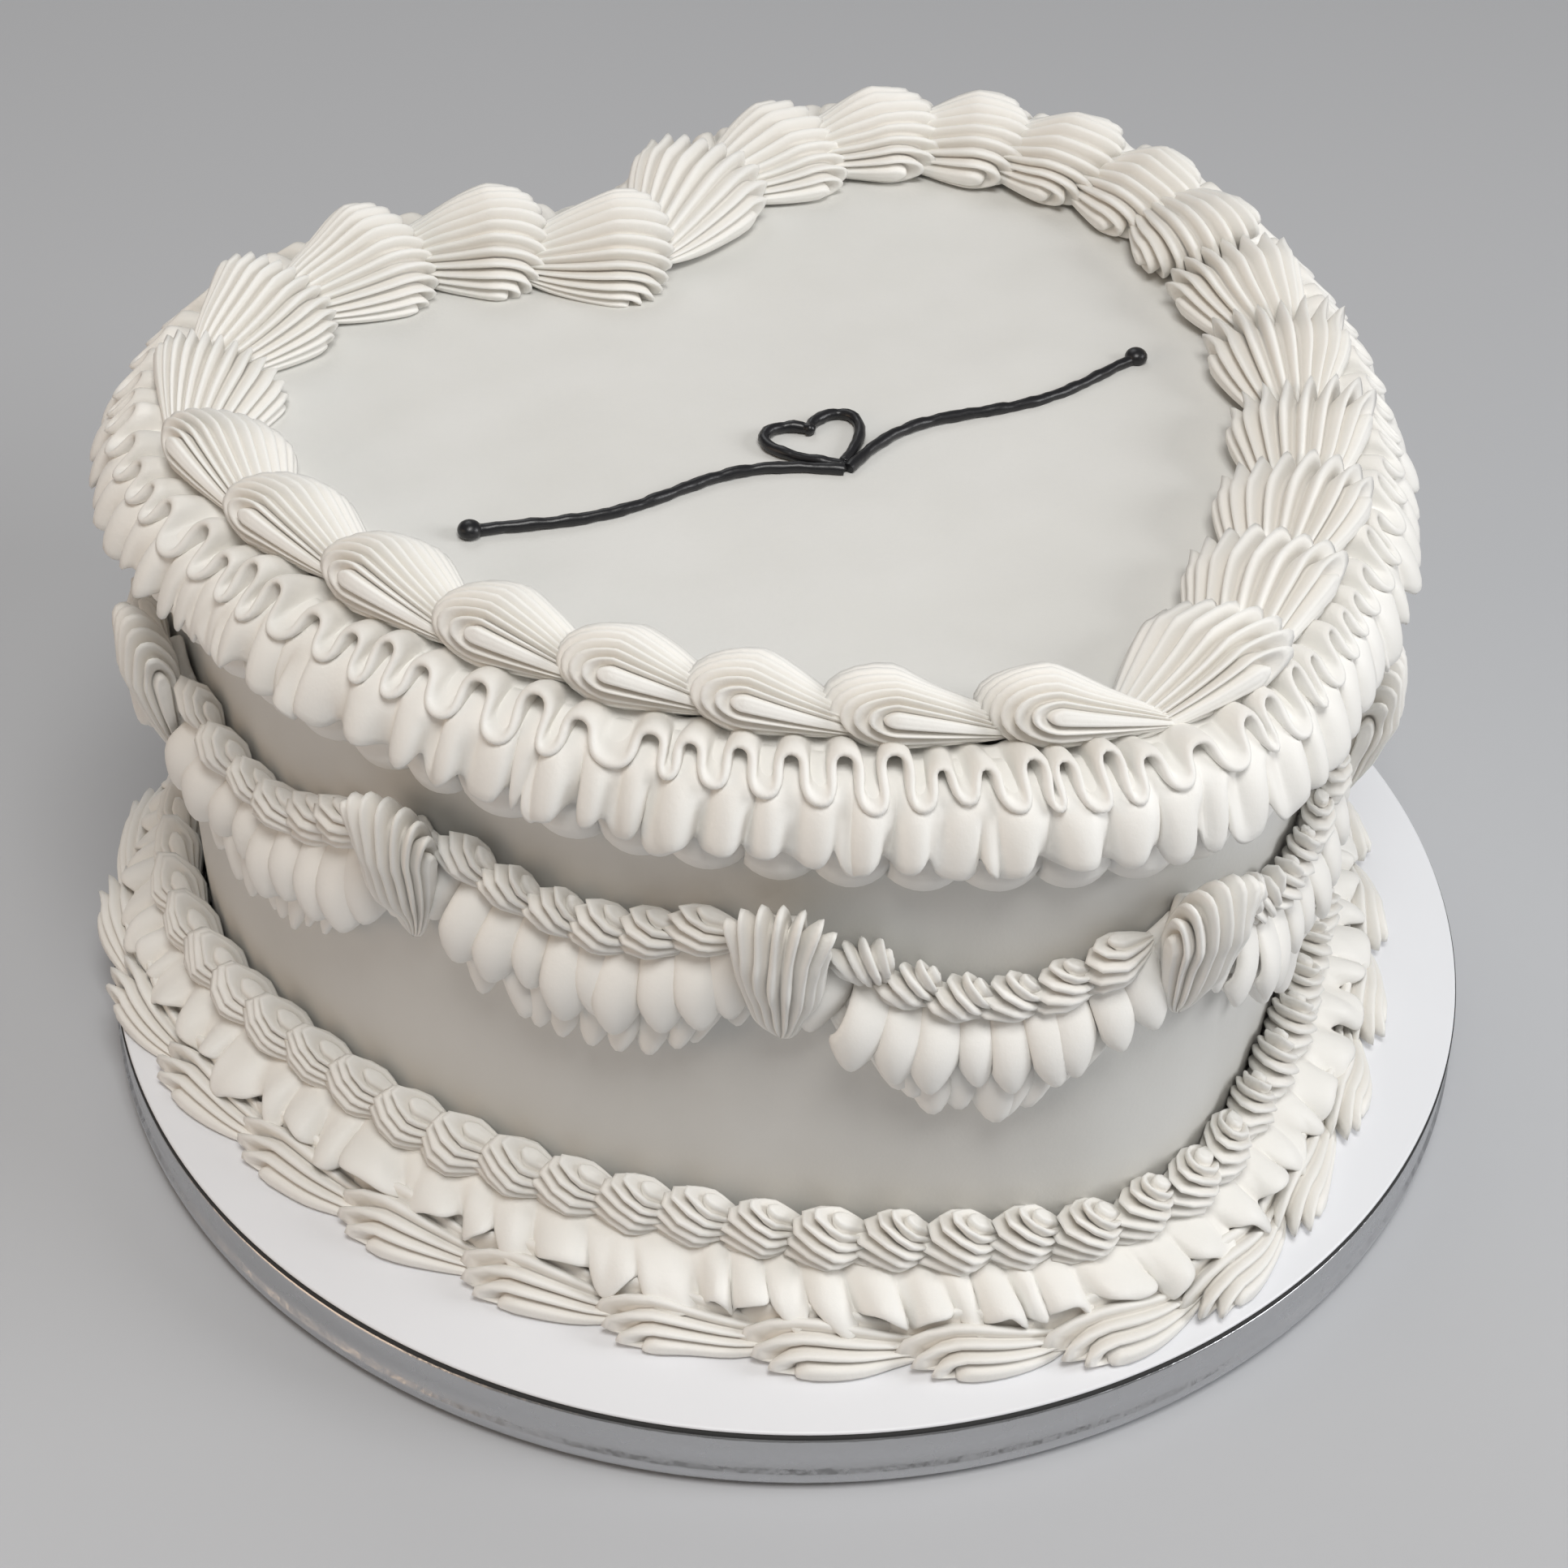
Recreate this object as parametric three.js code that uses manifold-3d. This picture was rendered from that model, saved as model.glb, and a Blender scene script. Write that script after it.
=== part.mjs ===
// Heart-shaped cake on its round board: buttercream borders, frills, swags and piped drops.
// Millimetres, +Z up, the tip of the heart toward -Y, origin at the centre of the board's underside.
import * as THREE from "three";
import Module from "manifold-3d";

// ---- driving dimensions ----
const BOARD_R = 127; // a 10 inch round board
const BOARD_H = 14; // thick covered board with its top card
const CARD_H = 1.2; // white card on top of the drum
const CAKE_TOP = 120; // top of the icing above the table
const LOBE_R = 60; // the two round lobes of the heart
const LOBE_X = 42.2; // how far each lobe's centre lies from the middle
const TIP_R = 43.6; // round at the tip
const TIP_Y = 84.8; // its centre, in front of the lobes' centres
const SIDE_R = 143.1; // long arc between a lobe and the tip
const SHIFT = 24.3; // the lobes' centres lie this far behind the board's centre
const GAP = 0.3; // between neighbouring pieces
const SHELL_RING = -14.5; // the top shells' centre line, in from the wall
const SHELL = { head: 11, tail: 13.5, half: 10.8, high: 13.2 }; // a shell of the top border
const DROP = { head: 9.5, tail: 17.5, half: 8.3, high: 8.6, z: 91.5 }; // a drop on the wall
const DROPS = [0, 0.218, 0.436, 0.624, 0.812, 1]; // where drops sit, as a share of the way from cleft to tip
const SWAG_PEAK = 98.5; // the swag's line at a drop
const SWAG_LOW = [84, 83, 82.6, 88.2, 82.3]; // the swag's lowest line between two drops
const CHAIN_TOP = 33.5; // top of the chain round the foot
const LINE_W = 1.9; // dark line on the top
const SEED = 7;

const wasm = await Module();
wasm.setup();

// ---- seeded draws ----
let state = SEED;
const draw = () => {
  state = (Math.imul(state, 1664525) + 1013904223) >>> 0;
  return state / 4294967296;
};
const vary = (amount) => 1 + (draw() * 2 - 1) * amount;

// ---- the heart's outline at an offset d from the wall, as arcs from the cleft to the tip ----
const yCleft = Math.sqrt(LOBE_R ** 2 - LOBE_X ** 2);
const side = (() => {
  const span = Math.hypot(LOBE_X, TIP_Y);
  const ra = SIDE_R - LOBE_R;
  const rb = SIDE_R - TIP_R;
  const ex = [-LOBE_X / span, -TIP_Y / span];
  const along = (span ** 2 + ra ** 2 - rb ** 2) / (2 * span);
  const off = Math.sqrt(ra ** 2 - along ** 2);
  const c = [1, -1]
    .map((k) => [LOBE_X + ex[0] * along - ex[1] * off * k, ex[1] * along + ex[0] * off * k])
    .sort((a, b) => a[0] - b[0])[0];
  return {
    c,
    a: Math.atan2(-c[1], LOBE_X - c[0]),
    b: Math.atan2(-TIP_Y - c[1], -c[0]),
  };
})();

function arcs(d) {
  const list = [];
  let start = Math.atan2(yCleft, -LOBE_X);
  if (d < 0) list.push([0, yCleft, -d, -Math.PI / 2, Math.atan2(-yCleft, LOBE_X), -1]);
  else start = Math.atan2(Math.sqrt((LOBE_R + d) ** 2 - LOBE_X ** 2), -LOBE_X);
  list.push([LOBE_X, 0, LOBE_R + d, start, side.a, 1]);
  list.push([side.c[0], side.c[1], SIDE_R + d, side.a, side.b, 1]);
  list.push([0, -TIP_Y, TIP_R + d, side.b, -Math.PI / 2, 1]);
  return list.map((a) => ({ x: a[0], y: a[1], r: a[2], from: a[3], to: a[4], out: a[5], len: a[2] * Math.abs(a[4] - a[3]) }));
}

// w runs 0 to 1 down the right half from the cleft to the tip, and 1 to 2 back up the left half.
function spot(w, d) {
  w = ((w % 2) + 2) % 2;
  const mirror = w <= 1 ? 1 : -1;
  const share = w <= 1 ? w : 2 - w;
  const list = arcs(d);
  let s = share * list.reduce((t, a) => t + a.len, 0);
  let arc = list[list.length - 1];
  for (const a of list) {
    if (s <= a.len) {
      arc = a;
      break;
    }
    if (a !== arc) s -= a.len;
  }
  const t = arc.len ? Math.min(1, s / arc.len) : 0;
  const angle = arc.from + (arc.to - arc.from) * t;
  const n = [Math.cos(angle), Math.sin(angle)];
  return {
    x: mirror * (arc.x + arc.r * n[0]),
    y: arc.y + arc.r * n[1] + SHIFT,
    n: [mirror * n[0] * arc.out, n[1] * arc.out],
  };
}

// ---- solids ----
// A closed band round the heart: section(w, i) gives its corners as [offset, z].
function ring(count, section) {
  const points = [];
  let k = 0;
  for (let i = 0; i < count; i++) {
    const w = (2 * i) / count;
    const corners = section(w, i);
    k = corners.length;
    for (const [d, z] of corners) {
      const p = spot(w, d);
      points.push(p.x, p.y, z);
    }
  }
  const index = [];
  for (let i = 0; i < count; i++)
    for (let j = 0; j < k; j++) {
      const a = i * k + j;
      const b = i * k + ((j + 1) % k);
      const c = ((i + 1) % count) * k + j;
      const e = ((i + 1) % count) * k + ((j + 1) % k);
      // the closing side is cut along its other diagonal, or a thin band's two walls would cross
      if (j === k - 1) index.push(a, b, e, a, e, c);
      else index.push(a, b, c, b, e, c);
    }
  return solid(points, index);
}

// A manifold solid of points and triangles, turned to face out.
function solid(points, index) {
  let volume = 0;
  for (let i = 0; i < index.length; i += 3) {
    const [a, b, c] = [index[i] * 3, index[i + 1] * 3, index[i + 2] * 3];
    volume +=
      points[a] * (points[b + 1] * points[c + 2] - points[b + 2] * points[c + 1]) +
      points[a + 1] * (points[b + 2] * points[c] - points[b] * points[c + 2]) +
      points[a + 2] * (points[b] * points[c + 1] - points[b + 1] * points[c]);
  }
  const tri = new Uint32Array(index);
  if (volume < 0)
    for (let i = 0; i < tri.length; i += 3) [tri[i + 1], tri[i + 2]] = [tri[i + 2], tri[i + 1]];
  const made = new wasm.Mesh({ numProp: 3, vertProperties: new Float32Array(points), triVerts: tri });
  return new wasm.Manifold(made);
}

// A piped shell on a flat base: round the cross axis from its tail (+x) over the crest to its head (-x).
function shell({ head, tail, half, high }, more = 0, rounds = 6, across = 6) {
  const points = [];
  for (let i = 0; i <= rounds; i++) {
    const turn = (Math.PI * i) / rounds;
    const c = Math.cos(turn);
    const reach = (c > 0 ? tail : head) + more * 1.6;
    const narrow = 0.5 + 0.5 * Math.sin(Math.min(1, (turn + 0.35) / 1.9) * (Math.PI / 2));
    for (let j = 1; j < across; j++) {
      const lat = -Math.PI / 2 + (Math.PI * j) / across;
      const wide = narrow + (1 - narrow) * Math.abs(Math.sin(lat)) ** 3;
      points.push(
        reach * c * Math.cos(lat),
        (half + more * 1.6) * wide * Math.sin(lat),
        (high + more * 2.6) * Math.sin(turn) * Math.cos(lat) ** 0.85,
      );
    }
  }
  const row = across - 1;
  const poleA = points.length / 3;
  points.push(0, -half - more * 1.6, 0, 0, half + more * 1.6, 0);
  const poleB = poleA + 1;
  const index = [];
  for (let i = 0; i < rounds; i++) {
    const a = i * row;
    const b = a + row;
    index.push(poleA, a, b, poleB, b + row - 1, a + row - 1);
    for (let j = 0; j < row - 1; j++) index.push(a + j, a + j + 1, b + j, a + j + 1, b + j + 1, b + j);
  }
  // the flat base: between the tail's edge, the head's edge and the two poles
  const last = rounds * row;
  index.push(poleA, last, 0, poleB, row - 1, last + row - 1);
  for (let j = 0; j < row - 1; j++) index.push(j, last + j, j + 1, j + 1, last + j, last + j + 1);
  return solid(points, index);
}

// Places a shell: its own x runs along t, z along up.
function place(made, p, t, up) {
  const y = new THREE.Vector3().crossVectors(up, t);
  const m = [...t.toArray(), 0, ...y.toArray(), 0, ...up.toArray(), 0, ...p, 1];
  return made.transform(m);
}

// A flat-bottomed piped line along a path of points.
function line(path, closed) {
  const w = LINE_W / 2;
  const section = [
    [-w, 0],
    [w, 0],
    [w * 0.7, 2 * w],
    [-w * 0.7, 2 * w],
  ];
  const k = section.length;
  const points = [];
  const n = path.length;
  path.forEach(([x, y], i) => {
    const a = path[closed ? (i + n - 1) % n : Math.max(0, i - 1)];
    const b = path[closed ? (i + 1) % n : Math.min(n - 1, i + 1)];
    const l = Math.hypot(b[0] - a[0], b[1] - a[1]);
    const nx = -(b[1] - a[1]) / l;
    const ny = (b[0] - a[0]) / l;
    for (const [o, z] of section) points.push(x + nx * o, y + ny * o, CAKE_TOP + GAP + z);
  });
  const index = [];
  for (let i = 0; i < (closed ? n : n - 1); i++)
    for (let j = 0; j < k; j++) {
      const a = i * k + j;
      const b = i * k + ((j + 1) % k);
      const c = ((i + 1) % n) * k + j;
      const e = ((i + 1) % n) * k + ((j + 1) % k);
      index.push(a, b, c, b, e, c);
    }
  if (!closed) {
    const z = (n - 1) * k;
    for (let j = 1; j < k - 1; j++) index.push(0, j + 1, j, z, z + j, z + j + 1);
  }
  return solid(points, index);
}

// ---- looks ----
const icing = () => new THREE.MeshStandardMaterial({ color: "#efe9df", roughness: 0.5, metalness: 0 });
const group = new THREE.Group();
group.name = "heart_cake";
function add(name, made, material) {
  const m = made.getMesh ? made.getMesh() : null;
  let geometry = made;
  if (m) {
    geometry = new THREE.BufferGeometry();
    const v = new Float32Array(m.numVert * 3);
    for (let i = 0; i < m.numVert; i++) v.set(m.vertProperties.subarray(i * m.numProp, i * m.numProp + 3), i * 3);
    geometry.setAttribute("position", new THREE.BufferAttribute(v, 3));
    geometry.setIndex(new THREE.BufferAttribute(new Uint32Array(m.triVerts), 1));
    geometry.computeVertexNormals();
  }
  const mesh = new THREE.Mesh(geometry, material);
  mesh.name = name;
  group.add(mesh);
}

// ---- the board: a silver drum with a white card on top ----
const lathe = (profile) => {
  const g = new THREE.LatheGeometry(profile.map(([r, z]) => new THREE.Vector2(r, z)), 52);
  g.rotateX(Math.PI / 2);
  return g;
};
const drumTop = BOARD_H - CARD_H - GAP;
add(
  "board_drum",
  lathe([[0, 0], [BOARD_R - 3.2, 0], [BOARD_R - 0.9, 1.0], [BOARD_R, 3.2], [BOARD_R, drumTop], [0, drumTop]]),
  new THREE.MeshStandardMaterial({ color: "#b9bcc2", roughness: 0.35, metalness: 0.8 }),
);
add(
  "board_top",
  lathe([[0, drumTop + GAP], [BOARD_R - 0.4, drumTop + GAP], [BOARD_R - 0.4, BOARD_H], [0, BOARD_H]]),
  new THREE.MeshStandardMaterial({ color: "#e9eaee", roughness: 0.45, metalness: 0 }),
);

// ---- the iced cake: the heart drawn up ----
{
  const shape = new THREE.Shape();
  const steps = 72;
  for (let i = 0; i < steps; i++) {
    const p = spot((2 * i) / steps, 0);
    if (i) shape.lineTo(p.x, p.y);
    else shape.moveTo(p.x, p.y);
  }
  shape.closePath();
  const g = new THREE.ExtrudeGeometry(shape, { depth: CAKE_TOP - BOARD_H - GAP, bevelEnabled: false });
  g.translate(0, 0, BOARD_H + GAP);
  add("cake", g, new THREE.MeshStandardMaterial({ color: "#e6e0d6", roughness: 0.55, metalness: 0 }));
}

// ---- the border of shells on top: three strokes, each shell's head on the last one's tail ----
const strokes = [
  { half: 1, way: -1, at: [0.484, 0.418, 0.354, 0.293, 0.228, 0.158, 0.066] },
  { half: -1, way: 1, at: [0.022, 0.102, 0.178, 0.262, 0.344, 0.428, 0.505, 0.584, 0.659, 0.73, 0.798, 0.868, 0.947] },
  { half: 1, way: 1, at: [0.566, 0.647, 0.735, 0.817, 0.895, 0.971] },
];
const shells = [];
for (const { half, way, at } of strokes)
  at.forEach((u, i) => {
    const big = half === 1 && u < 0.1 ? 1.3 : 1; // the one in the cleft is larger
    const size = {
      head: SHELL.head * vary(0.05) * big,
      tail: SHELL.tail * vary(0.05) * (1 + (big - 1) * 0.3),
      half: SHELL.half * vary(0.05) * (1 + (big - 1) * 0.4),
      high: SHELL.high * vary(0.07) * (1 + (big - 1) * 0.4),
    };
    const w = half > 0 ? u : 2 - u;
    const a = spot(w - 0.01 * half * way, SHELL_RING);
    const b = spot(w + 0.01 * half * way, SHELL_RING);
    const p = spot(w, SHELL_RING);
    const t = new THREE.Vector3(b.x - a.x, b.y - a.y, 0).normalize();
    const turn = (draw() - 0.5) * 0.16;
    t.applyAxisAngle(new THREE.Vector3(0, 0, 1), turn);
    shells.push({ size, p, t, first: i === 0 });
  });
const up = new THREE.Vector3(0, 0, 1);
const shellAt = ({ size, p, t }, more) =>
  place(shell(size, more), [p.x, p.y, CAKE_TOP + GAP - more], t, up);
const n1 = strokes[0].at.length;
const n2 = strokes[1].at.length;
shells.forEach((one, i) => {
  let made = shellAt(one, 0);
  const over = [];
  if (i + 1 < shells.length && !shells[i + 1].first) over.push(i + 1);
  if (i === 0) over.push(n1 + n2); // the second right-hand stroke starts on the first one's head
  if (i === n1 - 1) over.push(n1); // the left row starts on the tail of the first stroke
  if (i === n1 + n2 - 1) over.push(shells.length - 1); // and ends under the last shell at the tip
  for (const j of over) made = made.subtract(shellAt(shells[j], GAP));
  const parts = made.decompose().sort((a, b) => b.volume() - a.volume());
  add("top_shell_" + String(i + 1).padStart(2, "0"), parts[0], icing());
});

// ---- frills round the rim ----
const wave = (i) => (i % 2 ? 0 : 1);
const rim = CAKE_TOP;
add(
  "top_ruffle_upper",
  ring(188, (w, i) => {
    const k = vary(0.12);
    return wave(i)
      ? [[-1.2, rim + GAP], [6.4 * k, rim + 1.3], [6.2 * k, rim + 2.7]]
      : [[-1.2, rim + GAP], [2.4 * k, rim + 5.4], [1.4 * k, rim + 7]];
  }),
  icing(),
);
add(
  "top_ruffle_lower",
  ring(150, (w, i) => {
    const k = vary(0.1);
    return wave(i)
      ? [[GAP, rim - 0.6], [8.5 * k, rim - 6.8], [GAP, rim - 4.9]]
      : [[GAP, rim - 0.6], [5.4 * k, rim - 2.8], [GAP, rim - 4.9]];
  }),
  icing(),
);
add(
  "top_border_under",
  ring(120, (w, i) =>
    wave(i)
      ? [[GAP, rim - 5.5], [4.6, rim - 8.3], [GAP, rim - 12.4 * vary(0.04)]]
      : [[GAP, rim - 5.5], [2.8, rim - 8], [GAP, rim - 10.2]],
  ),
  icing(),
);

// ---- swags on the wall, hung between drops ----
function swagLine(w) {
  const u = w <= 1 ? w : 2 - w;
  let k = 0;
  while (k < DROPS.length - 2 && u > DROPS[k + 1]) k++;
  const t = Math.min(1, Math.max(0, (u - DROPS[k]) / (DROPS[k + 1] - DROPS[k])));
  return SWAG_PEAK - (SWAG_PEAK - SWAG_LOW[k]) * Math.sin(Math.PI * t) ** 0.9;
}
const drops = [];
DROPS.forEach((u, k) => {
  for (const half of u === 0 || u === 1 ? [1] : [1, -1]) drops.push({ w: half > 0 ? u : 2 - u, u });
});
drops.sort((a, b) => a.w - b.w);
const dropAt = ({ w, u }, more) => {
  const p = spot(w, 0);
  const out = u === 0 ? 9.4 : 2; // the notch holds its drop further out
  const n = new THREE.Vector3(u === 0 || u === 1 ? 0 : p.n[0], p.n[1], 0);
  if (u === 0) n.set(0, 1, 0);
  if (u === 1) n.set(0, -1, 0);
  n.normalize();
  const base = out - (more ? GAP : 0);
  return place(
    more ? shell(DROP, more, 5, 4) : shell(DROP, 0, 5, 6),
    [p.x + n.x * base, p.y + n.y * base, DROP.z],
    new THREE.Vector3(0, 0, -1),
    n,
  );
};
const cutters = drops.map((d) => dropAt(d, 0.9));
const trimmed = (made) => {
  for (const c of cutters) made = made.subtract(c);
  return made.decompose().sort((a, b) => b.volume() - a.volume())[0];
};
const halfLength = arcs(0).reduce((t, a) => t + a.len, 0);
const behindDrop = (w) =>
  drops.some((d) => Math.min(Math.abs(w - d.w), 2 - Math.abs(w - d.w)) * halfLength < (d.u ? 10.4 : 20));
add(
  "swag_chain",
  ring(180, (w, i) => {
    const z = swagLine(w);
    const out = behindDrop(w) ? 1.5 : wave(i) ? 5.6 : 3.4; // a thin strip runs on behind each drop
    return [[GAP, z + 3.3], [out, z + 0.3], [GAP, z - 3.1]];
  }),
  icing(),
);
add(
  "swag_ruffle_upper",
  trimmed(
    ring(150, (w, i) => {
      const z = swagLine(w);
      return wave(i)
        ? [[GAP, z - 4.7], [6.8, z - 11], [5.2, z - 16.8 * vary(0.05)]]
        : [[GAP, z - 4.7], [5.2, z - 10.5], [3.9, z - 14.2]];
    }),
  ),
  icing(),
);
add(
  "swag_ruffle_lower",
  trimmed(
    ring(150, (w, i) => {
      const z = swagLine(w);
      return wave(i)
        ? [[GAP, z - 8.6], [5.2, z - 24.2 * vary(0.04)], [GAP, z - 22.2]]
        : [[GAP, z - 8.6], [4, z - 21.2], [GAP, z - 20.4]];
    }),
  ),
  icing(),
);
drops.forEach((d, i) => add("swag_drop_" + String(i + 1).padStart(2, "0"), dropAt(d, 0), icing()));

// ---- round the foot: a chain of small shells, a frill and a border of shells on the board ----
add(
  "foot_chain",
  ring(124, (w, i) =>
    wave(i)
      ? [[GAP, CHAIN_TOP], [8.9, CHAIN_TOP - 4.2], [GAP, CHAIN_TOP - 8.4]]
      : [[GAP, CHAIN_TOP - 0.8], [5.8, CHAIN_TOP - 4.6], [GAP, CHAIN_TOP - 8.4]],
  ),
  icing(),
);
add(
  "foot_ruffle",
  ring(152, (w, i) => {
    const k = vary(0.06);
    return wave(i)
      ? [[GAP, CHAIN_TOP - 8.8], [14.2 * k, BOARD_H + 6.9], [GAP, BOARD_H + 7.4]]
      : [[GAP, CHAIN_TOP - 8.8], [11.2 * k, BOARD_H + 9.3], [GAP, BOARD_H + 7.4]];
  }),
  icing(),
);
add(
  "foot_shells",
  ring(90, (w, i) => {
    const k = [0.8, 1, 0.93][i % 3];
    const b = BOARD_H + GAP;
    const high = [4.6, 6, 5.6][i % 3];
    return [[0.6, b], [3.4, b + high], [12.2 * k, b + high * 0.8], [15.6 * k, b]];
  }),
  icing(),
);

// ---- a dark piped line on top: two waves and an open heart ----
{
  const from = [-63.9, -3];
  const to = [58.9, -14.3];
  const tilt = Math.atan2(to[1] - from[1], to[0] - from[0]);
  const mid = [(from[0] + to[0]) / 2, (from[1] + to[1]) / 2];
  const turned = ([x, y]) => [
    mid[0] + x * Math.cos(tilt) - y * Math.sin(tilt),
    mid[1] + x * Math.sin(tilt) + y * Math.cos(tilt),
  ];
  const reach = Math.hypot(to[0] - from[0], to[1] - from[1]) / 2;
  const heart = [];
  for (let i = 0; i < 18; i++) {
    const a = (2 * Math.PI * i) / 18 + 0.17;
    heart.push(turned([8.4 * Math.sin(a) ** 3, 6.9 * Math.cos(a) - 2.7 * Math.cos(2 * a) - 1.1 * Math.cos(3 * a) + 1.4]));
  }
  const waveLine = (sign) => {
    const path = [];
    for (let i = 0; i <= 11; i++) {
      const t = i / 11;
      const x = sign * (0.4 + (reach - 0.4) * t);
      path.push(turned([x, -8.2 * (1 - t) ** 2 + 3.4 * Math.sin(t * Math.PI * 2.2) * (1 - 0.4 * t)]));
    }
    return path;
  };
  let made = line(heart, true);
  for (const sign of [-1, 1]) {
    const path = waveLine(sign);
    made = made.add(line(path, false));
    const end = path[path.length - 1];
    const dot = wasm.Manifold.cylinder(LINE_W * 0.95, 2, 1.5, 8).translate([end[0], end[1], CAKE_TOP + GAP]);
    made = made.add(dot);
  }
  add("top_flourish", made, new THREE.MeshStandardMaterial({ color: "#141416", roughness: 0.35, metalness: 0 }));
}

export default group;
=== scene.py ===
import math

import bmesh
import bpy
import numpy as np
from mathutils import Matrix, Vector


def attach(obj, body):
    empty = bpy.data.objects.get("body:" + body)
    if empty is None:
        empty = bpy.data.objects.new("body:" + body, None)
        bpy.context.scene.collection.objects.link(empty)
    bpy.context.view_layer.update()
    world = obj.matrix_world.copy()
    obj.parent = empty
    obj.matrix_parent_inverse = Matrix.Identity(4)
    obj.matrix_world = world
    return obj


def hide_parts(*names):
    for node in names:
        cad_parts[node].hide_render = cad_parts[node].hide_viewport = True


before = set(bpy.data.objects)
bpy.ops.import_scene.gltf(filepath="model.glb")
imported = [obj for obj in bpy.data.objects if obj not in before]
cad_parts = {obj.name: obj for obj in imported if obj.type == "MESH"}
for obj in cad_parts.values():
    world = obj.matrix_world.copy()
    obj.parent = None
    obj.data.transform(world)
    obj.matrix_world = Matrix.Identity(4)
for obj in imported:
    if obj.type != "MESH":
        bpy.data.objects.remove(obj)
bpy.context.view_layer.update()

MM = 0.001

# ---- the cake's own sizes in mm, the same as in its solids ----
BOARD_R, BOARD_H, CARD_H = 127.0, 14.0, 1.2
CAKE_TOP = 120.0  # top of the icing above the table
LOBE_R, LOBE_X = 60.0, 42.2  # the round lobes, and how far each one's centre lies from the middle
TIP_R, TIP_Y = 43.6, 84.8  # the round at the tip, and its centre in front of the lobes' centres
SIDE_R = 143.1  # the long arc between a lobe and the tip
SHIFT = 24.3  # the lobes' centres lie this far behind the board's centre
SHELL_HEAD, SHELL_TAIL, SHELL_HALF, SHELL_HIGH = 11.0, 13.5, 10.8, 13.2
DROPS = [0, 0.218, 0.436, 0.624, 0.812, 1]  # where drops sit, as a share of the way from cleft to tip
DROP_Z = 91.5  # height of a drop's middle
SWAG_PEAK = 98.5  # the swag's line at a drop
SWAG_LOW = [84, 83, 82.6, 88.2, 82.3]  # its lowest height between two drops
CHAIN_TOP = 33.5  # top of the chain round the foot
LINE_W = 1.9  # the dark line's width

# ---- sizes of the fine forms ----
SHELL_RING = -12.1  # the top shells' line, in from the wall
SIDES = 6  # points across one ridge of piped icing
SHELL_OVER = 0.8  # the shells are this much longer and wider than their solids
SHELL_UNDER = 5.5  # and their tails run this far on under the next head
SHELL_LOW = 0.93  # and they are this share of the solids' height before their tips are added
POLE_BACK = 0.12  # a shell's pole lies this share of its head's length toward the head
LIMB = 0.36  # share of a shell's rope that runs along its top, and as much along its base
FLAT = 0.6  # how softly a shell's lowest side meets its base
UNEVEN = 0.45  # how uneven in width a frill's waves are

# ---- seeded draws: the same row of numbers as in the solids ----
seed = [7]


def draw():
    seed[0] = (seed[0] * 1664525 + 1013904223) & 0xFFFFFFFF
    return seed[0] / 4294967296


def vary(amount):
    return 1 + (draw() * 2 - 1) * amount


# ---- the heart's outline at an offset from the wall ----
Y_CLEFT = math.sqrt(LOBE_R**2 - LOBE_X**2)


def side_arc():
    """Centre and end angles of the long arc that meets a lobe and the tip smoothly."""
    span = math.hypot(LOBE_X, TIP_Y)
    to_lobe, to_tip = SIDE_R - LOBE_R, SIDE_R - TIP_R
    ex, ey = -LOBE_X / span, -TIP_Y / span
    along = (span**2 + to_lobe**2 - to_tip**2) / (2 * span)
    off = math.sqrt(to_lobe**2 - along**2)
    cx, cy = min((LOBE_X + ex * along - ey * off * k, ey * along + ex * off * k) for k in (1, -1))
    return cx, cy, math.atan2(-cy, LOBE_X - cx), math.atan2(-TIP_Y - cy, -cx)


SIDE_X, SIDE_Y, SIDE_START, SIDE_END = side_arc()


def outline(d):
    """The right half's four arcs at the offset d, cleft to tip, as (x, y, radius, start, end, way out)."""
    one = np.ones_like(d)
    quarter = -math.pi / 2 * one
    crossing = np.arctan2(np.sqrt(np.maximum((LOBE_R + d) ** 2 - LOBE_X**2, 0)), -LOBE_X)
    lobe_start = np.where(d < 0, math.atan2(Y_CLEFT, -LOBE_X), crossing)
    return [
        (0 * one, Y_CLEFT * one, np.maximum(-d, 0), quarter, math.atan2(-Y_CLEFT, LOBE_X) * one, -1),
        (LOBE_X * one, 0 * one, LOBE_R + d, lobe_start, SIDE_START * one, 1),
        (SIDE_X * one, SIDE_Y * one, SIDE_R + d, SIDE_START * one, SIDE_END * one, 1),
        (0 * one, -TIP_Y * one, TIP_R + d, SIDE_END * one, quarter, 1),
    ]


def half_length(d):
    """Length of one half of the outline at the offset d."""
    d = np.asarray(d, float)
    return sum(r * np.abs(end - start) for _, _, r, start, end, _ in outline(d))


def from_cleft(w):
    """Share of the way from cleft to tip: w is 0 to 1 down the right half and 1 to 2 back up the left."""
    return np.where(w % 2 <= 1, w % 2, 2 - w % 2)


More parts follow.
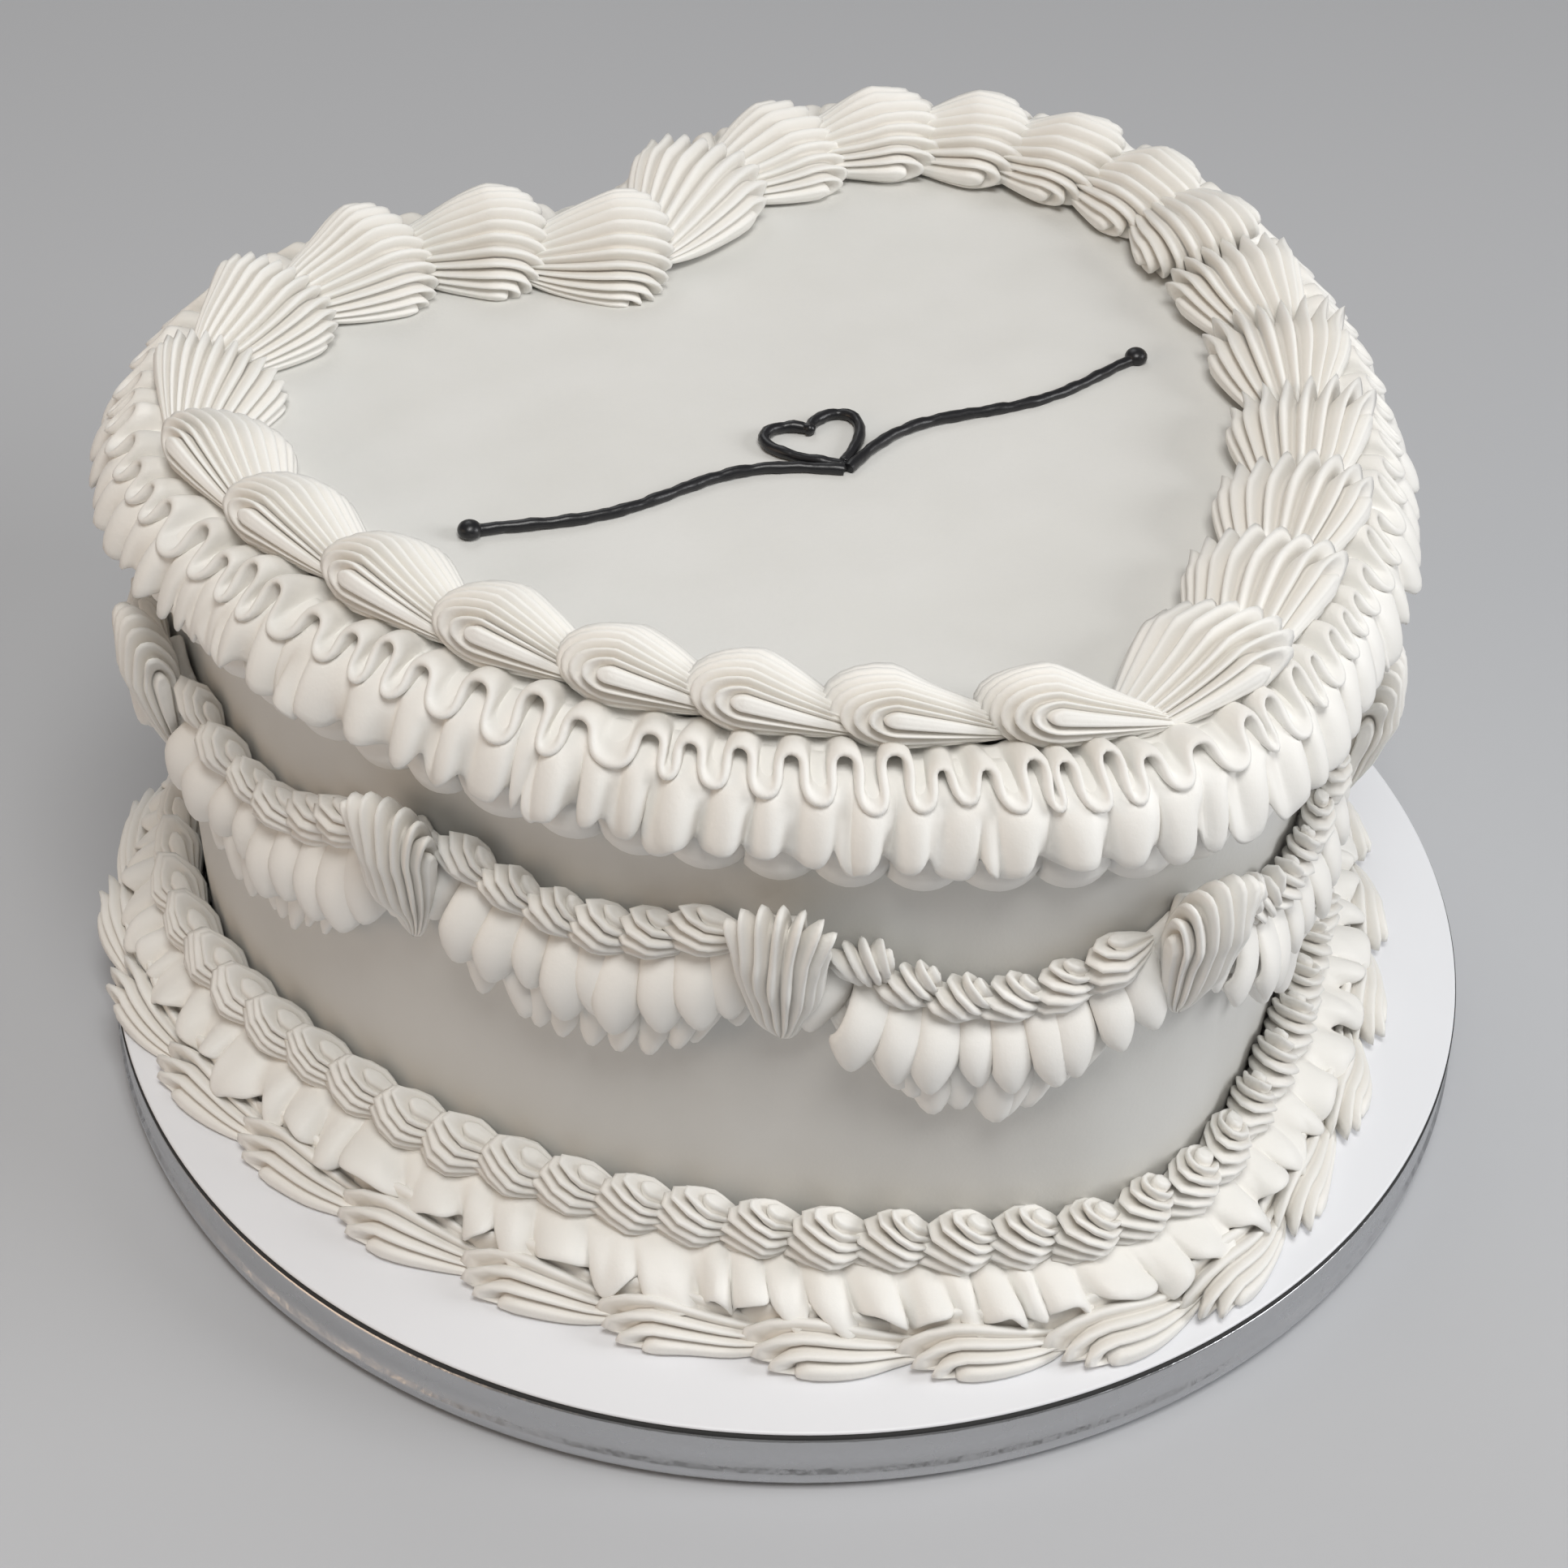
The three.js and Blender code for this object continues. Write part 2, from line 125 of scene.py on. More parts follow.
def spot(w, d):
    """Place (x, y) and outward direction (x, y) at w, at the offset d from the wall."""
    w, d = np.broadcast_arrays(np.asarray(w, float) % 2.0, np.asarray(d, float))
    mirror = np.where(w <= 1, 1.0, -1.0)
    s = from_cleft(w) * half_length(d)
    x, y, nx, ny = (np.zeros(w.shape) for _ in range(4))
    todo = np.ones(w.shape, bool)
    arcs = outline(d)
    for k, (cx, cy, r, start, end, way) in enumerate(arcs):
        length = r * np.abs(end - start)
        here = todo & ((s <= length) | (k == len(arcs) - 1))
        t = np.where(length > 0, np.clip(s / np.maximum(length, 1e-9), 0, 1), 0)
        angle = start + (end - start) * t
        c, q = np.cos(angle), np.sin(angle)
        x = np.where(here, cx + r * c, x)
        y = np.where(here, cy + r * q, y)
        nx = np.where(here, c * way, nx)
        ny = np.where(here, q * way, ny)
        s = s - length
        todo &= ~here
    return x * mirror, y + SHIFT, nx * mirror, ny


def on_heart(w, along, d, z):
    """Points at w, moved along the wall by some mm, at offset d and height z."""
    x, y, _, _ = spot(w + along / half_length(d), d)
    return np.stack([x, y, np.broadcast_to(z, x.shape)], -1)


def swag_line(w):
    """Height of the swags' line at w: highest at the drops, lowest between them."""
    u, at = from_cleft(w), np.array(DROPS)
    k = np.clip(np.searchsorted(at, u, side="left") - 1, 0, len(at) - 2)
    t = np.clip((u - at[k]) / (at[k + 1] - at[k]), 0, 1)
    return SWAG_PEAK - (SWAG_PEAK - np.array(SWAG_LOW)[k]) * np.sin(math.pi * t) ** 0.9


def ease(x, a, b):
    """0 below a and 1 above b, with a soft step between."""
    t = np.clip((x - a) / (b - a), 0, 1)
    return t * t * (3 - 2 * t)


def turned(x, y, angle):
    c, s = math.cos(angle), math.sin(angle)
    return c * x - s * y, s * x + c * y


def lumps(p, size, key):
    """Smooth uneven numbers of about -1 to 1 at the points p, for lumps of that size in mm."""
    r = np.random.default_rng(key)
    total = np.zeros(p.shape[:-1])
    for _ in range(6):
        k = r.normal(size=3)
        k *= 2 * math.pi / (size * r.uniform(0.7, 1.5) * np.linalg.norm(k))
        total += np.sin(p @ k + r.uniform(0, 6.28))
    return total / 2.5


# ---- materials ----
class Sock:
    """A node's output, so that shader maths reads as sums."""

    def __init__(self, tree, socket):
        self.tree, self.socket = tree, socket

    def feed(self, socket, value):
        """Links a Sock to an input, or sets the input to a plain value."""
        if isinstance(value, Sock):
            self.tree.links.new(value.socket, socket)
        else:
            socket.default_value = value

    def node(self, kind, settings=None, **inputs):
        """Adds a node. An input is given by its name, or by _ and its number."""
        n = self.tree.nodes.new(kind)
        for key, value in (settings or {}).items():
            setattr(n, key, value)
        for key, value in inputs.items():
            self.feed(n.inputs[int(key[1:]) if key[0] == "_" else key], value)
        return n

    def out(self, n, name=0):
        return Sock(self.tree, n.outputs[name])

    def maths(self, operation, other):
        return self.out(self.node("ShaderNodeMath", {"operation": operation}, _0=self, _1=other))

    def __add__(self, other):
        return self.maths("ADD", other)

    def __mul__(self, other):
        return self.maths("MULTIPLY", other)

    def noise(self, size_mm, detail, rough=0.5):
        """Noise at this point, with grains of about that size."""
        n = self.node("ShaderNodeTexNoise", Vector=self, Scale=1 / (size_mm * MM), Detail=detail,
                      Roughness=rough)
        return self.out(n, "Fac")

    def ramp(self, stops):
        n = self.node("ShaderNodeValToRGB", Fac=self)
        for element, (at, colour) in zip(n.color_ramp.elements, stops):
            element.position, element.color = at, (*colour, 1)
        return self.out(n, "Color")

    def mix(self, a, b):
        """Colour a where this is 0, colour b where it is 1."""
        return self.out(self.node("ShaderNodeMix", {"data_type": "RGBA"}, _0=self, _6=a, _7=b), 2)

    def bump(self, distance_mm):
        n = self.node("ShaderNodeBump", Height=self, Distance=distance_mm * MM, Strength=1.0)
        return self.out(n, "Normal")


def material(name, look):
    """A material. look gives its shader's inputs for a point in the piece's own coordinates."""
    m = bpy.data.materials.new(name)
    m.use_nodes = True
    tree = m.node_tree
    point = Sock(tree, tree.nodes.new("ShaderNodeTexCoord").outputs["Object"])
    for key, value in look(point).items():
        point.feed(tree.nodes["Principled BSDF"].inputs[key], value)
    return m


PAINTED_CREASE_SHADE = (0.63, 0.575, 0.50, 1)  # painted shade: icing down in creases and folds, darkened as if in shade and lit only by the icing beside it
CREASE_SHADE_SHARE = 0.55  # how far the deepest crease's painted shade goes to that tone
PATCH_MM, GRAIN_MM, WAVE_MM = 22, 0.9, 4.5  # the icing's patches of tone, its pores and its unevenness


def buttercream(name, low, high, roughness, pores_mm):
    """Icing from tone low to tone high, with painted shade: darker and warmer where the mesh's crease
    attribute marks creases, folds and petal edges.
    """

    def look(p):
        # painted shade: the crease attribute pulls the colour toward the shaded tone in hollows
        groove = p.out(p.node("ShaderNodeAttribute", {"attribute_name": "groove"}), "Fac")
        patches = p.noise(PATCH_MM, 3).ramp([(0.3, low), (0.7, high)])
        grain = p.noise(GRAIN_MM, 3, 0.6) * 0.6 + p.noise(WAVE_MM, 2) * 0.4
        return {"Base Color": (groove * CREASE_SHADE_SHARE).mix(patches, PAINTED_CREASE_SHADE), "Roughness": roughness,
                "Specular IOR Level": 0.42, "IOR": 1.45, "Normal": grain.bump(pores_mm)}

    return material(name, look)


PIPED = buttercream("piped buttercream", (0.885, 0.87, 0.83), (0.92, 0.908, 0.875), 0.5, 0.10)
SMOOTH = buttercream("smooth buttercream", (0.715, 0.71, 0.68), (0.745, 0.74, 0.715), 0.55, 0.07)
CARD = material("white card", lambda p: {
    "Base Color": (0.86, 0.87, 0.90, 1),
    "Roughness": p.noise(30, 2) * 0.1 + 0.33,
    "Normal": p.noise(14, 2).bump(0.05),
})
FOIL = material("silver foil", lambda p: {
    "Base Color": (0.58, 0.585, 0.60, 1),
    "Metallic": 1.0,
    "Roughness": p.noise(9, 3) * 0.2 + 0.18,
    "Normal": (p.noise(7, 3, 0.6) + p.noise(2.2, 2) * 0.3).bump(0.35),
})
# painted shadow: a near-black material for the shade inside the gap under the card
PAINTED_GAP_SHADOW = material("dark gap", lambda p: {"Base Color": (0.03, 0.03, 0.03, 1), "Roughness": 0.8})
BLACK = material("black icing", lambda p: {
    "Base Color": (0.011, 0.011, 0.013, 1),
    "Roughness": 0.33,
    "Normal": p.noise(1.6, 2).bump(0.08),
})
FLOOR = material("pale floor", lambda p: {"Base Color": (0.54, 0.55, 0.57, 1), "Roughness": 0.7})
SLOTS = {
    PIPED: "piped_icing",
    SMOOTH: "smooth_icing",
    CARD: "white_card",
    FOIL: "silver_foil",
    BLACK: "dark_line",
}


# ---- making pieces ----
def add_grid(bm, across, along):
    """Adds a flat grid and gives its points' shares, 0 to 1, across and along it."""
    first = len(bm.verts)
    bmesh.ops.create_grid(bm, x_segments=across, y_segments=along, size=1)
    bm.verts.ensure_lookup_table()
    flat = (np.array([v.co for v in bm.verts[first:]]) + 1) / 2
    return flat[:, 0], flat[:, 1]


def put(bm, points_mm, groove=None):
    """Moves bm's points there, and keeps each point's painted shade for creases, folds and petal edges as an
    attribute.
    """
    for v, p in zip(bm.verts, np.asarray(points_mm) * MM):
        v.co = p
    if groove is not None:
        # painted shade, kept on the points for the icing's material to darken its colour
        layer = bm.verts.layers.float.new("groove")
        for v, depth in zip(bm.verts, groove):
            v[layer] = depth


def put_in_scene(name, data):
    o = bpy.data.objects.new(name, data)
    bpy.context.scene.collection.objects.link(o)
    return o


def piece(name, bm, mat, nodes, merge=True, thick=0.0, rounded=0):
    """Makes the finished object: seams merged, normals out, put in the named body, and the model's parts it
    stands for hidden.
    """
    name = name.replace(" ", "_")
    if merge:
        bmesh.ops.remove_doubles(bm, verts=bm.verts, dist=1e-6)
    bmesh.ops.recalc_face_normals(bm, faces=bm.faces)
    mesh = bpy.data.meshes.new(name)
    bm.to_mesh(mesh)
    bm.free()
    for f in mesh.polygons:
        f.use_smooth = True
    mesh.materials.append(mat)
    o = put_in_scene(name, mesh)
    if thick:
        s = o.modifiers.new("thickness", "SOLIDIFY")
        s.thickness, s.offset, s.use_even_offset = thick * MM, 0.0, False
    if rounded:
        s = o.modifiers.new("round", "SUBSURF")
        s.levels = s.render_levels = rounded
    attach(o, "root")
    if nodes:
        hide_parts(*nodes)
    mat in SLOTS


def spun(name, profile, mat, nodes):
    """A turned piece: its profile of (radius, height) spun round the middle."""
    bm = bmesh.new()
    verts = [bm.verts.new((r * MM, 0, z * MM)) for r, z in profile]
    edges = [bm.edges.new(pair) for pair in zip(verts, verts[1:])]
    bmesh.ops.spin(bm, geom=verts + edges, cent=(0, 0, 0), axis=(0, 0, 1), angle=2 * math.pi, steps=256,
                   use_merge=True, use_duplicate=False)
    piece(name, bm, mat, nodes)


# ---- the board: a drum in silver foil under a white card, with a dark ring of painted shadow in the gap between them ----
FOOT_ROUND = 3.4  # the drum's lower edge
DRUM_TOP = BOARD_H - CARD_H - 0.3
CARD_BASE = DRUM_TOP + 0.35


def from_rim(*points):
    """Profile points given as (how far in from the board's rim, height)."""
    return [(BOARD_R - inset, z) for inset, z in points]


foot_round = from_rim(*[(FOOT_ROUND * (1 - math.sin(a)), FOOT_ROUND * (1 - math.cos(a)))
                        for a in np.linspace(0, math.pi / 2, 9)])
wrap = from_rim((0, 4.6), (0.55, 5.0), (0.5, 8.0), (0.5, DRUM_TOP - 0.7), (0.7, DRUM_TOP - 0.2),
                (1.3, DRUM_TOP))
spun("silver drum", [(0, 0), (60, 0), (110, 0)] + foot_round + wrap + [(100, DRUM_TOP), (0, DRUM_TOP)],
     FOIL, ["board_drum"])
card_edge = from_rim((1.7, CARD_BASE), (1.0, CARD_BASE + 0.5), (0.85, BOARD_H - 0.4), (0.95, BOARD_H - 0.1),
                     (1.3, BOARD_H))
spun("white card top", [(0, CARD_BASE), (100, CARD_BASE)] + card_edge + [(100, BOARD_H), (0, BOARD_H)],
     CARD, ["board_top"])
# a near-black ring of painted shadow fills the gap between drum and card; it stands for none of the model's
# parts
spun("dark gap under the card", from_rim((4, DRUM_TOP - 0.2), (0.85, DRUM_TOP - 0.2), (0.6, DRUM_TOP + 0.1),
                                         (0.65, DRUM_TOP + 0.85), (4, DRUM_TOP + 0.8)), PAINTED_GAP_SHADOW, [])


# ---- the iced cake ----
def iced_cake():
    """One skin from the board up the wall, over a soft edge and in to the middle of the top."""
    soft_edge = 2.2  # radius between wall and top
    wall_end, edge_end = 0.5, 0.58  # shares of the skin
    middle = np.array([0, 8.0, CAKE_TOP])
    bm = bmesh.new()
    u, v = add_grid(bm, 320, 64)
    w = 2 * u
    turn = np.clip((v - wall_end) / (edge_end - wall_end), 0, 1) * math.pi / 2
    d = -soft_edge * (1 - np.cos(turn))
    wall_z = np.interp(v, [0, wall_end], [BOARD_H + 0.2, CAKE_TOP - soft_edge])
    z = np.where(v > wall_end, CAKE_TOP - soft_edge + soft_edge * np.sin(turn), wall_z)
    p = on_heart(w, 0, d, z)
    _, _, nx, ny = spot(w, d)
    uneven = lumps(p, 60, 3) * 0.35 + lumps(p * [1, 1, 0.35], 16, 4) * 0.12
    p[:, 0] += nx * uneven
    p[:, 1] += ny * uneven
    inward = np.clip((v - edge_end) / (1 - edge_end), 0, 1)
    p = p + (middle - p) * inward[:, None]
    p[:, 2] += (lumps(p, 45, 5) * 0.22 + lumps(p, 14, 6) * 0.06) * ease(inward, 0, 0.1)
    put(bm, p)
    bmesh.ops.remove_doubles(bm, verts=bm.verts, dist=1e-6)
    bmesh.ops.holes_fill(bm, edges=[e for e in bm.edges if e.is_boundary], sides=0)
    piece("iced heart cake", bm, SMOOTH, ["cake"])


iced_cake()


# ---- piped shells ----
def pipe_form(u, v, sizes, ridges, depth, key, pole=0.5, droop=1.0, tips=0.0, curl=0.0, sharp=0.85, roll=0.0):
    """A piped shell on a flat base, its tail along +x: its points, and how far down into the creases between
    ridges each one lies, kept also as painted shade.

    The nozzle's ridged rope runs back under itself, turns up round the head and comes down to the tail, so
    its ridges are nested bends round a pole on either side. u goes across the rope and v along it, from the
    tail over the top, round the head and back along the base. sizes are (head, tail, half, high), and depth
    is the grooves'. pole is the poles' share of the height, droop how fast the tail sinks, tips how far the
    crown's ridges stand out, curl how they swirl, sharp how narrow they are and roll how far the shell leans
    over, in radians.
    """
    head, tail, half, high = sizes
    side = (u - 0.5 + curl / ridges * np.sin(2 * math.pi * v) * np.sin(math.pi * u)) * math.pi
    facing, sideways = np.cos(side), np.sin(side)
    x_pole, z_pole = -POLE_BACK * head, pole * high
    over, below, run, reach = high - z_pole, z_pole, tail - x_pole, head + x_pole
    top, under = v < LIMB, v > 1 - LIMB
    tailward = np.where(top, 1 - v / LIMB, np.where(under, (v - 1 + LIMB) / LIMB, 0.0))
    taper = np.clip(1 - tailward**1.2, 0, 1) ** droop
    turn = np.clip((v - LIMB) / (1 - 2 * LIMB), 0, 1) * math.pi
    ridge = np.abs(np.sin(math.pi * ridges * u)) ** sharp
    # how far down into the creases between ridges each point lies: it cuts them into the rope and is kept as
    # painted shade that darkens them
    groove = (1 - ridge) * ease(facing, 0.0, 0.35)
    deep = depth * groove * taper**0.8
    round_ = facing**0.9
    x = x_pole + run * tailward - (reach * round_ - deep * facing) * np.sin(turn)
    y = (half * np.where(top | under, taper**0.7, 1.0) - deep) * sideways
    on_top = over * round_ * taper - deep * facing
    on_base = -below * round_ * (1 - tailward) + deep * facing
    on_head = (np.where(turn < math.pi / 2, over, below) * round_ - deep * facing) * np.cos(turn)
    z = z_pole * (1 - 0.55 * tailward) + np.where(top, on_top, np.where(under, on_base, on_head))
    crown = tips * ridge**1.5 * ease(facing, 0.05, 0.6) * ease(turn, 0.2, 1.3) * (1 - ease(turn, 1.7, 2.7))
    x, y, z = x - crown, y + 0.6 * crown * sideways, z + 0.45 * crown
    y, z = turned(y, z - z_pole, roll)
    p = np.stack([x, y, FLAT * np.logaddexp(0, (z + z_pole) / FLAT) - 0.5 * FLAT], -1)
    return p * (1 + 0.03 * lumps(p, half * 1.3, key))[..., None], groove


# The border's strokes: side of the heart, way round, where its shells sit from cleft to tip, and their looks.
STROKES = [
    (1, -1, [0.484, 0.418, 0.354, 0.293, 0.228, 0.158, 0.066],
     {"ridges": 11, "depth": 2.3, "sharp": 1.2, "tips": 1.4, "roll": -0.3}),
    (-1, 1, [0.022, 0.102, 0.178, 0.262, 0.344, 0.428, 0.505, 0.584, 0.659, 0.73, 0.798, 0.868, 0.947],
     {"ridges": 13, "depth": 2.7, "sharp": 1.2, "tips": 0.5, "roll": -0.52}),
    (1, 1, [0.566, 0.647, 0.735, 0.817, 0.895, 0.971],
     {"ridges": 10, "depth": 2.9, "sharp": 1.5, "tips": 2.6, "roll": 0.25}),
]


def top_shell(number, w, way, extra, looks, rng):
    """One shell of the border on top. extra is how much larger than the others it is."""
    head = SHELL_HEAD * vary(0.05) * (1 + extra) + SHELL_OVER
    tail = SHELL_TAIL * vary(0.05) * (1 + extra * 0.3) + SHELL_UNDER
    half = SHELL_HALF * vary(0.05) * (1 + extra * 0.4) + SHELL_OVER
    high = SHELL_HIGH * vary(0.07) * (1 + extra * 0.4) * SHELL_LOW
    step = 0.01 * way
    x, y, _, _ = spot(w, SHELL_RING)
    xa, ya, _, _ = spot(w - step, SHELL_RING)
    xb, yb, _, _ = spot(w + step, SHELL_RING)
    angle = math.atan2(float(yb - ya), float(xb - xa)) + (draw() - 0.5) * 0.16
    tips, curl = looks["tips"] * rng.uniform(0.8, 1.2), rng.uniform(-0.5, 0.5)
    bm = bmesh.new()
    across, along = add_grid(bm, looks["ridges"] * SIDES, 44)
    p, groove = pipe_form(across, along, (head, tail, half, high), key=number, curl=curl,
                          **{**looks, "tips": tips})
    px, py = turned(p[:, 0], p[:, 1], angle)
    put(bm, np.stack([x + px, y + py, CAKE_TOP + p[:, 2]], -1), groove)
    piece(f"piped top shell {number}", bm, PIPED, [f"top_shell_{number:02d}"])


def top_shells():
    rng = np.random.default_rng(21)
    number = 0
    for half, way, places, looks in STROKES:
        for u in places:
            number += 1
            in_cleft = half == 1 and u < 0.1
            w = u if half > 0 else 2 - u
            top_shell(number, w, half * way, 0.3 if in_cleft else 0.0, looks, rng)


top_shells()


# ---- frills: thin wavy bands ----
def waves_at(w, count, uneven, key):
    """A phase that grows by one each wave, with waves of uneven width."""
    r = np.random.default_rng(key)
    widths = 1 + uneven * r.uniform(-1, 1, count)
    marks = np.concatenate([[0], np.cumsum(widths)]) / widths.sum() * 2
    phase = np.interp(w % 2.0, marks, np.arange(count + 1))
    return np.where(w >= 2.0, count, phase)


def frill(name, nodes, form, count, steps, rows, thick, key):
    """A band with count waves. form(phase, t, each) gives its points' (along, offset, height, painted shade).

    t is the share from the band's root to its edge, and each(low, high, key) draws a number for each wave,
    eased between neighbours.
    """
    bm = bmesh.new()
    u, t = add_grid(bm, count * steps, rows)
    w = 2 * u
    phase = waves_at(w, count, UNEVEN, key)

    def each(low, high, draws):
        values = np.random.default_rng(draws).uniform(low, high, count)
        i = np.floor(phase).astype(int) % count
        share = ease(phase - np.floor(phase), 0.2, 0.8)
        return values[i] * (1 - share) + values[(i + 1) % count] * share

    along, d, z, groove = form(phase, t, each)
    put(bm, on_heart(w, along, d, z), groove)
    piece(name, bm, PIPED, nodes, thick=thick, rounded=1)


def pleats(phase, t, lean):
    """Round-backed pleats, 1 on their backs and -1 in the sharp valleys, and how far each point gathers."""
    p = phase + lean * t + 0.1 * np.sin(2 * math.pi * phase + 5 * t)
    fold = 0.65 * np.cos(2 * math.pi * p) + 0.35 * (2 * np.abs(np.cos(math.pi * p)) - 1)
    gather = 0.25 * np.sin(4 * math.pi * p) + 0.55 * np.sin(2 * math.pi * p)
    return fold, gather


def upper_frill(phase, t, each):
    """A ribbon from under the shells to an edge of hanging tongues and arches."""
    root, reach, top = -7.2, 10.8, CAKE_TOP + 3.3
    swing, lift, sway = 3.0, 2.9, 0.95  # of its waves outward, upward and along the edge
    a = 2 * math.pi * phase
    size = each(0.68, 1.22, 11)
    grow = ease(t, -0.15, 0.95)
    d = root + reach * t - swing * size * np.cos(a) * grow
    z = top + 0.9 * np.sin(t * math.pi / 2) + lift * size * np.cos(a) * grow
    along = (sway * np.sin(2 * a) * size + each(-1.1, 1.1, 12)) * grow
    # the last value is painted shade, darkest where the ribbon draws in and up into its arches
    return along, d, z, 0.45 * ease(np.cos(a), 0.2, 1.0) * grow


def lower_frill(phase, t, each):
    """Pleats that come out under the ribbon and hang down over the border below."""
    root, reach, top, fall, lean = -4.0, 10.8, CAKE_TOP + 3.4, 10.6, -0.42
    size = each(0.5, 1.25, 13)
    fold, gather = pleats(phase, t, lean * each(0.4, 1.8, 14))
    flare = np.sin(2 * math.pi * phase + each(-2, 2, 22))
    grow = ease(t, 0.1, 0.9)
    d = root + reach * np.sin(t * math.pi / 2) ** 0.9 + 1.8 * size * fold * grow + (0.9 + flare) * t**4
    z = top - fall * t**2.2 - 1.2 * size * fold * t**2 + 1.3 * flare * t**2
    along = (1.35 * gather * size + each(-1.0, 1.0, 15)) * grow
    # the last value is painted shade in the pleats' valleys
    return along, d, z, 0.5 * ease(-fold, 0.2, 1.0) * grow


def foot_frill(phase, t, each):
    """Pleats between the chain and the shells round the foot, their edge curling up and down."""
    root, reach, top, fall, lean = 0.5, 12.6, CHAIN_TOP - 7.0, 6.0, 0.4
    curls = 64 / 92  # of the edge, for each pleat
    size = each(0.55, 1.35, 16)
    fold, gather = pleats(phase, t, lean * each(0.4, 1.8, 19))
    grow = ease(t, -0.1, 0.9)
    curl = 2 * np.abs(np.sin(math.pi * (curls * phase + each(-0.3, 0.3, 20)))) - 1
    d = root + reach * np.sin(t * math.pi / 2) ** 0.9 + 2.1 * size * fold * grow + (0.9 - 0.8 * curl) * t**3
    z = top - fall * t**1.6 + 0.7 * size * fold * grow + 2.4 * curl * t**2.2
    along = (1.3 * gather * size + each(-1.1, 1.1, 17)) * grow
    # the last value is painted shade in the pleats' valleys
    return along, d, z, 0.4 * ease(-fold, 0.2, 1.0) * grow


frill("upper frill of the rim", ["top_ruffle_upper"], upper_frill,
      count=92, steps=10, rows=5, thick=1.5, key=31)
frill("lower frill of the rim", ["top_ruffle_lower"], lower_frill,
      count=100, steps=8, rows=6, thick=1.3, key=32)
frill("frill round the foot", ["foot_ruffle"], foot_frill,
      count=92, steps=9, rows=6, thick=1.2, key=33)


# ---- the scalloped border under the rim ----
def under_border():
    """Two piped layers in scallops, each scallop a little further out than the one before it."""
    scallops, top = 60, CAKE_TOP - 5.0
    bm = bmesh.new()
    u, v = add_grid(bm, scallops * 10, 14)
    w = 2 * u
    phase = waves_at(w, scallops, 0.12, 34)
    t = phase - np.floor(phase)
    arch = np.sin(math.pi * np.clip(t, 0, 1)) ** 0.6
    drop = 7.4 + 3.8 * arch
    z = top - drop * (1 - np.cos(math.pi * v)) / 2
    layers = np.abs(np.sin(4 * math.pi * v + 0.9 * t)) ** 0.5
    d = -0.4 + (2.2 + 2.2 * arch + 0.75 * layers + 0.9 * t) * np.sin(math.pi * v) ** 0.6
    along = (t - 0.5) * 2.0 * v
    put(bm, on_heart(w, along, d, z))
    piece("scalloped border under the rim", bm, PIPED, ["top_border_under"])


under_border()


# ---- swags: petals in two layers under a chain of small shells ----
def petals(name, nodes, pitch, wide, length, root, out, key, tilt, side):
    """Rounded petals side by side along the swag line, each a little over its neighbour.

    root is how far below the line they start, out how far they stand off the wall, tilt the side to which
    they lean, and side the number of steps along a petal's side.
    """
    r = np.random.default_rng(key)
    whole = 2 * float(half_length(4.0))
    count = round(whole / pitch)
    bm = bmesh.new()
    for _ in range(count):
        u, t = add_grid(bm, side, side)
    a = u * 2 - 1
    w = (np.arange(count)[:, None] + 0.5 + r.uniform(-0.14, 0.14, (count, 1))) * 2 / count
    size = r.uniform(0.88, 1.12, (count, 1))
    step = 0.004
    slope = (swag_line(w + step) - swag_line(w - step)) / (step * whole)
    half = wide / 2 * size * (0.62 + 0.38 * np.sin(math.pi * np.clip(t * 0.62 + 0.1, 0, 1)))
    along = a * half + (tilt * slope * 0.5 + r.uniform(-0.1, 0.1, (count, 1))) * t * length
    down = length * size * t * (1 - 0.33 * a * a * t * t) + r.uniform(-0.7, 0.7, (count, 1))
    z = swag_line(w) - root - down + slope * a * half * 0.9
    lift = np.sin(math.pi * np.clip(t, 0, 1) ** 0.8 * 0.72)
    to_drop = np.min(np.abs(from_cleft(w)[..., None] - np.array(DROPS)), -1) * whole / 2
    clear = ease(to_drop, 5, 13)
    d = 0.9 + out * size * lift * (0.4 + 0.6 * clear) - 2.5 * np.abs(a) ** 2.4 * t**0.5 + tilt * 1.9 * a * t
    d = np.maximum(d + 0.9 * ease(t, 0.7, 1.0) * (1 - a * a), 0.2)
    # painted shade along each petal's sides, where it tucks toward the wall and under its neighbour, weaker
    # toward its lower end
    groove = 0.5 * np.abs(a) ** 3 * (1 - 0.5 * t)
    put(bm, on_heart(w, along, d, z).reshape(-1, 3), np.tile(groove, count))
    piece(name, bm, PIPED, nodes, merge=False, thick=1.5, rounded=1)


petals("lower petals of the swags", ["swag_ruffle_lower"], pitch=5.1, wide=7.3, length=16.8, root=7.6,
       out=4.4, key=41, tilt=-1, side=4)
petals("upper petals of the swags", ["swag_ruffle_upper"], pitch=4.8, wide=7.0, length=14.0, root=2.0,
       out=6.6, key=42, tilt=1, side=5)


def small_shells(name, nodes, places, rounds, ridges, depth, sizes, key, base, tips, head_up):
    """Shells laid on the wall along the heart, base mm off it. places are (w, height, slope).

    rounds is the number of steps along a shell's rope, and head_up how far its head points up, in radians.
    """
    bm = bmesh.new()
    for _ in places:
        u, v = add_grid(bm, ridges * SIDES, rounds)
    points, grooves = [], []
    for i, (w, z, slope) in enumerate(places):
        r = np.random.default_rng(1000 * key + i)
        varied = [s * r.uniform(0.92, 1.08) for s in sizes]
        p, groove = pipe_form(u, v, varied, ridges, depth, key * 77 + i, tips=tips, curl=r.uniform(-0.3, 0.3))
        x, y = turned(p[:, 0], p[:, 1], math.atan(slope) - head_up + r.uniform(-0.12, 0.12))
        points.append(on_heart(w, -x, base + p[:, 2], z + y))
        grooves.append(groove)
    put(bm, np.concatenate(points), np.concatenate(grooves))
    piece(name, bm, PIPED, nodes)


